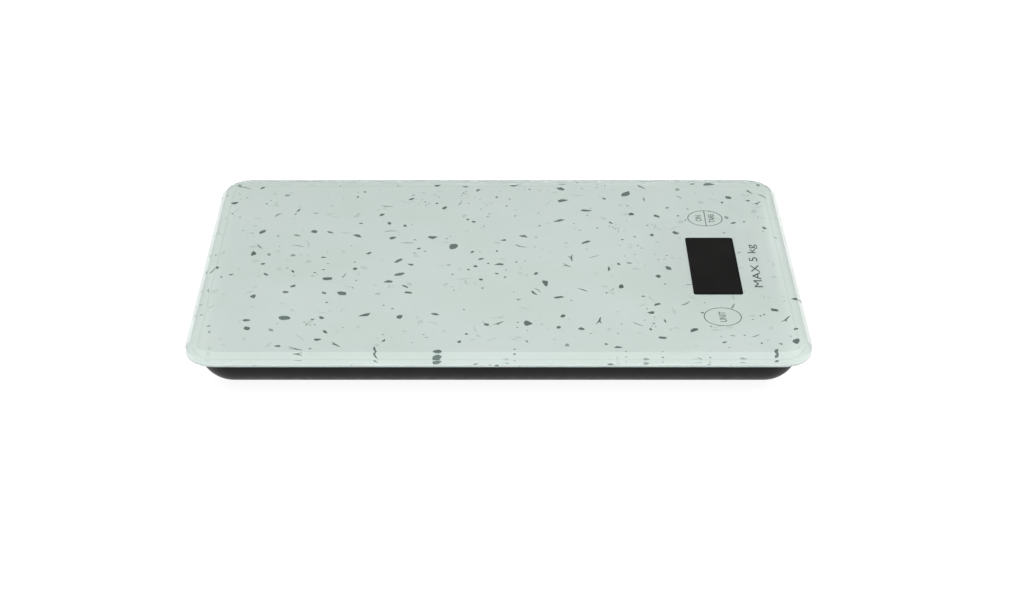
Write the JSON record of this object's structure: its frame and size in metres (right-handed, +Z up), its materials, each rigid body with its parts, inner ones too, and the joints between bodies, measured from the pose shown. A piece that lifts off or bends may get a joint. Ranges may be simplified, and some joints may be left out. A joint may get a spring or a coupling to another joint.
{
  "type": "kitchen scale",
  "caption": "Flat kitchen scale: a printed glass platform with a display and touch keys, on a shallow tray with load-cell feet.",
  "frame": {"origin": "on the table, under the middle of the platform", "axes": "+Z up; +Y along the long side, away from the user, who stands at the -Y end beside the display; +X to the user's right"},
  "size_m": [0.15, 0.23, 0.02],
  "materials": {
    "glass": "clear, polished, bevelled edge",
    "print": "ink on the underside of the glass, pale grey green with stone chips",
    "window": "smoked ink",
    "tape": "foam tape",
    "tray": "satin moulded",
    "label": "satin silver",
    "circuit_board": "solder mask",
    "lcd": "polarising film",
    "light_guide": "diffuser",
    "black_plastic": "satin moulded",
    "elastomer": "matt",
    "spring_steel": "bright wire",
    "epoxy": "cast",
    "can_steel": "drawn",
    "ceramic_chip": "fired",
    "zinc_screw": "zinc plated",
    "red_wire": "pvc",
    "white_wire": "pvc",
    "black_wire": "pvc",
    "cell_steel": "nickel plated",
    "foil_gauge": "polyimide film",
    "white_plastic": "moulded",
    "foot_rubber": "matt",
    "battery_steel": "nickel plated",
    "nickel_contact": "nickel plated"
  },
  "bodies": {
    "platform": {"glass_platform": "glass", "printed_layer": "print", "display_window": "window", "bonding_tape": "tape", "base_tray": "tray", "rating_label": "label", "main_board": "circuit_board", "lcd_panel": "lcd", "lcd_backlight": "light_guide", "lcd_holder": "black_plastic", "zebra_strip": "elastomer", "touch_spring_on_tare": "spring_steel", "touch_spring_unit": "spring_steel", "processor_blob": "epoxy", "amplifier_chip": "epoxy", "quartz_crystal": "can_steel", "chip_capacitors": "ceramic_chip", "board_screws": "zinc_screw", "clamp_screws": "zinc_screw", "cell_wires_red": "red_wire", "battery_lead_red": "red_wire", "cell_wires_white": "white_wire", "cell_wires_black": "black_wire", "battery_lead_black": "black_wire", "load_cell_front_left": "cell_steel", "load_cell_front_right": "cell_steel", "load_cell_rear_left": "cell_steel", "load_cell_rear_right": "cell_steel", "strain_gauge_front_left": "foil_gauge", "strain_gauge_front_right": "foil_gauge", "strain_gauge_rear_left": "foil_gauge", "strain_gauge_rear_right": "foil_gauge", "cell_clamp_front_left": "white_plastic", "cell_clamp_front_right": "white_plastic", "cell_clamp_rear_left": "white_plastic", "cell_clamp_rear_right": "white_plastic", "coin_cell": "battery_steel", "battery_contact_positive": "nickel_contact", "battery_contact_negative": "nickel_contact"},
    "foot_front_left": {"foot_cup_front_left": "black_plastic", "foot_pad_front_left": "foot_rubber"},
    "foot_front_right": {"foot_cup_front_right": "black_plastic", "foot_pad_front_right": "foot_rubber"},
    "foot_rear_left": {"foot_cup_rear_left": "black_plastic", "foot_pad_rear_left": "foot_rubber"},
    "foot_rear_right": {"foot_cup_rear_right": "black_plastic", "foot_pad_rear_right": "foot_rubber"},
    "battery_door": {"battery_door": "tray", "door_latch": "tray"}
  },
  "joints": [
    {"name": "foot_front_left_press", "type": "slide", "parent": "platform", "child": "foot_front_left", "axis": [0, 0, 1], "range_m": [0, 0.0004], "stiffness_N_per_m": 34000, "deforming": ["load_cell_front_left", "strain_gauge_front_left"]},
    {"name": "foot_front_right_press", "type": "slide", "parent": "platform", "child": "foot_front_right", "axis": [0, 0, 1], "range_m": [0, 0.0004], "stiffness_N_per_m": 34000, "deforming": ["load_cell_front_right", "strain_gauge_front_right"]},
    {"name": "foot_rear_left_press", "type": "slide", "parent": "platform", "child": "foot_rear_left", "axis": [0, 0, 1], "range_m": [0, 0.0004], "stiffness_N_per_m": 34000, "deforming": ["load_cell_rear_left", "strain_gauge_rear_left"]},
    {"name": "foot_rear_right_press", "type": "slide", "parent": "platform", "child": "foot_rear_right", "axis": [0, 0, 1], "range_m": [0, 0.0004], "stiffness_N_per_m": 34000, "deforming": ["load_cell_rear_right", "strain_gauge_rear_right"]},
    {"name": "battery_door_hinge", "type": "hinge", "parent": "platform", "child": "battery_door", "pos_m": [0, -0.0145, 0.0025], "axis": [-1, 0, 0], "range_deg": [0, 45], "deforming": ["door_latch"]}
  ]
}
